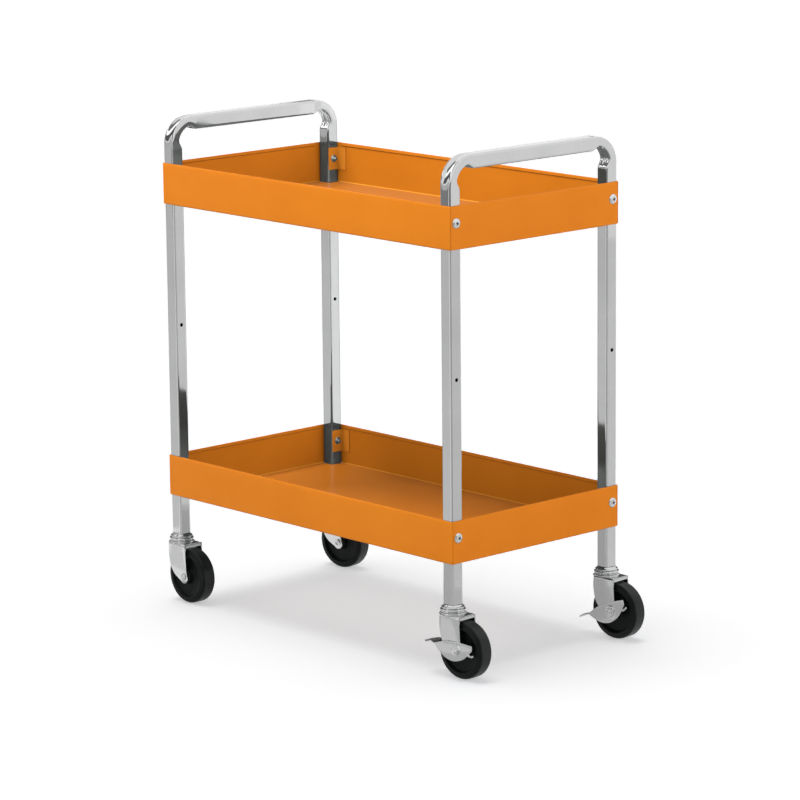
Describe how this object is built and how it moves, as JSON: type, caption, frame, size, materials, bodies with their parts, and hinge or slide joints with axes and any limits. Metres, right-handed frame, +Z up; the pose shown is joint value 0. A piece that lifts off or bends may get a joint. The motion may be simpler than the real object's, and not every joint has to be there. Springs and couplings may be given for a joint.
{
  "type": "utility cart",
  "caption": "Rolling utility cart: deep sheet-steel trays on bent square-tube end frames with push handles, on swivel casters, with foot brakes at one end.",
  "frame": {"origin": "centre of the footprint, on the floor under the wheels", "axes": "+Z up; X along the trays, with the braked casters at the +X end; Y across the trays, with both brake levers on the -Y sides of their casters"},
  "size_m": [0.8368, 0.4412, 0.9042],
  "materials": {
    "orange_paint": "smooth semi-gloss orange enamel on folded sheet steel",
    "chrome": "bright chrome plating",
    "zinc_plated_steel": "bright zinc plating",
    "black_hard_rubber": "moulded hard rubber, slightly glossy"
  },
  "bodies": {
    "cart": {"bearing_cup_far_left": "chrome", "bearing_cup_far_right": "chrome", "bearing_cup_near_left": "chrome", "bearing_cup_near_right": "chrome", "caster_stem_far_left": "zinc_plated_steel", "caster_stem_far_right": "zinc_plated_steel", "caster_stem_near_left": "zinc_plated_steel", "caster_stem_near_right": "zinc_plated_steel", "end_frame_left": "chrome", "end_frame_right": "chrome", "leg_socket_far_left": "zinc_plated_steel", "leg_socket_far_right": "zinc_plated_steel", "leg_socket_near_left": "zinc_plated_steel", "leg_socket_near_right": "zinc_plated_steel", "lower_bracket_far_left": "orange_paint", "lower_bracket_far_right": "orange_paint", "lower_bracket_near_left": "orange_paint", "lower_bracket_near_right": "orange_paint", "lower_nut_far_left": "zinc_plated_steel", "lower_nut_far_right": "zinc_plated_steel", "lower_nut_near_left": "zinc_plated_steel", "lower_nut_near_right": "zinc_plated_steel", "lower_screw_far_left": "chrome", "lower_screw_far_right": "chrome", "lower_screw_near_left": "chrome", "lower_screw_near_right": "chrome", "lower_tray": "orange_paint", "upper_bracket_far_left": "orange_paint", "upper_bracket_far_right": "orange_paint", "upper_bracket_near_left": "orange_paint", "upper_bracket_near_right": "orange_paint", "upper_nut_far_left": "zinc_plated_steel", "upper_nut_far_right": "zinc_plated_steel", "upper_nut_near_left": "zinc_plated_steel", "upper_nut_near_right": "zinc_plated_steel", "upper_screw_far_left": "chrome", "upper_screw_far_right": "chrome", "upper_screw_near_left": "chrome", "upper_screw_near_right": "chrome", "upper_tray": "orange_paint"},
    "swivel_near_left": {"fork_near_left": "chrome", "axle_bolt_near_left": "zinc_plated_steel", "axle_nut_near_left": "zinc_plated_steel"},
    "wheel_near_left": {"wheel_near_left": "black_hard_rubber"},
    "swivel_near_right": {"fork_near_right": "chrome", "axle_bolt_near_right": "zinc_plated_steel", "axle_nut_near_right": "zinc_plated_steel"},
    "wheel_near_right": {"wheel_near_right": "black_hard_rubber"},
    "brake_lever_near_right": {"brake_lever_near_right": "chrome"},
    "swivel_far_right": {"fork_far_right": "chrome", "axle_bolt_far_right": "zinc_plated_steel", "axle_nut_far_right": "zinc_plated_steel"},
    "wheel_far_right": {"wheel_far_right": "black_hard_rubber"},
    "brake_lever_far_right": {"brake_lever_far_right": "chrome"},
    "swivel_far_left": {"fork_far_left": "chrome", "axle_bolt_far_left": "zinc_plated_steel", "axle_nut_far_left": "zinc_plated_steel"},
    "wheel_far_left": {"wheel_far_left": "black_hard_rubber"}
  },
  "joints": [
    {"name": "swivel_near_left", "type": "hinge", "parent": "cart", "child": "swivel_near_left", "pos_m": [-0.39543, -0.19041, 0.1115], "axis": [0, 0, 1], "continuous": true},
    {"name": "wheel_spin_near_left", "type": "hinge", "parent": "swivel_near_left", "child": "wheel_near_left", "pos_m": [-0.36643, -0.19041, 0.0508], "axis": [0, 1, 0], "continuous": true},
    {"name": "swivel_near_right", "type": "hinge", "parent": "cart", "child": "swivel_near_right", "pos_m": [0.33817, -0.19041, 0.1115], "axis": [0, 0, 1], "continuous": true},
    {"name": "wheel_spin_near_right", "type": "hinge", "parent": "swivel_near_right", "child": "wheel_near_right", "pos_m": [0.36713, -0.18889, 0.0508], "axis": [-0.0523, 0.9986, 0], "continuous": true},
    {"name": "brake_near_right", "type": "hinge", "parent": "swivel_near_right", "child": "brake_lever_near_right", "pos_m": [0.36713, -0.18889, 0.0508], "axis": [0.0523, -0.9986, 0], "range_deg": [0, 20]},
    {"name": "swivel_far_right", "type": "hinge", "parent": "cart", "child": "swivel_far_right", "pos_m": [0.33817, 0.18759, 0.1115], "axis": [0, 0, 1], "continuous": true},
    {"name": "wheel_spin_far_right", "type": "hinge", "parent": "swivel_far_right", "child": "wheel_far_right", "pos_m": [0.3671, 0.18961, 0.0508], "axis": [-0.0698, 0.9976, 0], "continuous": true},
    {"name": "brake_far_right", "type": "hinge", "parent": "swivel_far_right", "child": "brake_lever_far_right", "pos_m": [0.3671, 0.18961, 0.0508], "axis": [0.0698, -0.9976, 0], "range_deg": [-20, 0]},
    {"name": "swivel_far_left", "type": "hinge", "parent": "cart", "child": "swivel_far_left", "pos_m": [-0.39543, 0.18759, 0.1115], "axis": [0, 0, 1], "continuous": true},
    {"name": "wheel_spin_far_left", "type": "hinge", "parent": "swivel_far_left", "child": "wheel_far_left", "pos_m": [-0.36665, 0.19112, 0.0508], "axis": [-0.1219, 0.9925, 0], "continuous": true}
  ]
}
